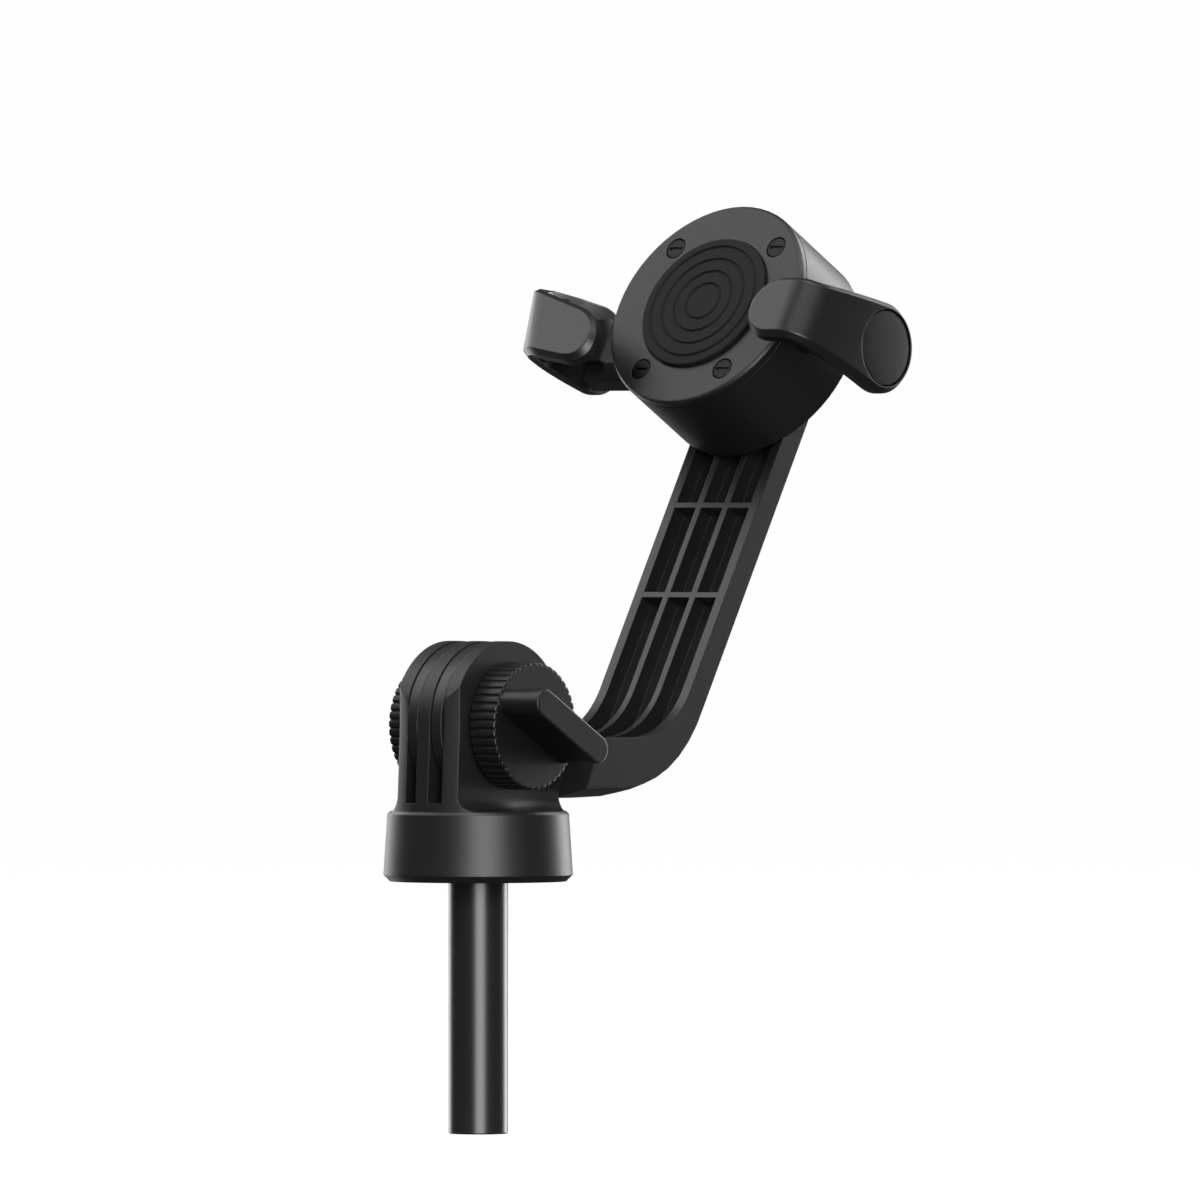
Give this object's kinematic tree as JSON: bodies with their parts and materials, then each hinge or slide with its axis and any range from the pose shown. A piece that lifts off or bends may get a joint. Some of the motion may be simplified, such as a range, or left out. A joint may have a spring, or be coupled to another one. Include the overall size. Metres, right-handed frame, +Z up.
{
  "type": "phone holder head",
  "caption": "Tilting phone holder head on a stand pole: collar with three-prong yoke, clamp knobs, ribbed cranked arm and swivelling clamp with sliding jaws.",
  "frame": {"origin": "centre of the pole's lower end, on the pole's axis", "axes": "+Z up along the pole, +X along the tilt axis towards the lever knob, +Y the way the arm reaches out, away from the phone's screen"},
  "size_m": [0.096, 0.1472, 0.2255],
  "materials": {
    "pole_paint": "gloss black enamel on steel tube",
    "body_plastic": "moulded ABS, fine spark texture",
    "arm_plastic": "glass-filled nylon, satin moulded",
    "knob_plastic": "moulded ABS, fine texture",
    "rubber": "moulded silicone rubber, dull",
    "nylon": "natural acetal, moulded",
    "steel": "zinc plated",
    "black_steel": "black zinc plated",
    "spring_steel": "tempered strip"
  },
  "bodies": {
    "base": {"pole": "pole_paint", "pole_plug": "nylon", "pole_foot": "nylon", "plug_screw": "steel", "collar_yoke": "body_plastic"},
    "lever": {"lever_knob": "knob_plastic", "tilt_bolt": "steel"},
    "nut": {"nut_knob": "knob_plastic", "tilt_nut": "steel"},
    "arm": {"arm": "arm_plastic", "swivel_bolt": "steel"},
    "head": {"swivel_washer": "nylon", "housing_shell": "body_plastic", "housing_cover": "body_plastic", "rest_pad": "rubber", "pinion_axle": "steel", "return_spring": "spring_steel", "cover_screw_1": "black_steel", "cover_screw_2": "black_steel", "cover_screw_3": "black_steel", "cover_screw_4": "black_steel"},
    "pinion": {"pinion": "nylon"},
    "jaw_right": {"slide_right": "arm_plastic", "jaw_right": "arm_plastic", "jaw_cap_right": "arm_plastic", "jaw_screw_right": "steel", "jaw_pad_right": "rubber"},
    "jaw_left": {"slide_left": "arm_plastic", "jaw_left": "arm_plastic", "jaw_cap_left": "arm_plastic", "jaw_screw_left": "steel", "jaw_pad_left": "rubber"}
  },
  "joints": [
    {"name": "tilt", "type": "hinge", "parent": "base", "child": "arm", "pos_m": [0, 0, 0.0987], "axis": [1, 0, 0], "range_deg": [-2, 115]},
    {"name": "lever_turn", "type": "hinge", "parent": "base", "child": "lever", "pos_m": [0, 0, 0.0987], "axis": [1, 0, 0], "range_deg": [-180, 180]},
    {"name": "nut_turn", "type": "hinge", "parent": "base", "child": "nut", "pos_m": [0, 0, 0.0987], "axis": [1, 0, 0], "range_deg": [-180, 180]},
    {"name": "swivel", "type": "hinge", "parent": "arm", "child": "head", "pos_m": [0, 0.1099, 0.18778], "axis": [0, -0.866, 0.5], "continuous": true},
    {"name": "jaw_open", "type": "slide", "parent": "head", "child": "jaw_right", "axis": [1, 0, 0], "range_m": [-0.008, 0.01]},
    {"name": "jaw_follow", "type": "slide", "parent": "head", "child": "jaw_left", "axis": [-1, 0, 0], "range_m": [-0.008, 0.01]},
    {"name": "pinion_turn", "type": "hinge", "parent": "head", "child": "pinion", "pos_m": [0, 0.10803, 0.18453], "axis": [0, 0.866, -0.5], "range_deg": [-180, 180]}
  ],
  "couplings": [
    {"joint": "jaw_follow", "follows": "jaw_open", "ratio": 1},
    {"joint": "pinion_turn", "follows": "jaw_open", "rad_per_m": 250}
  ]
}
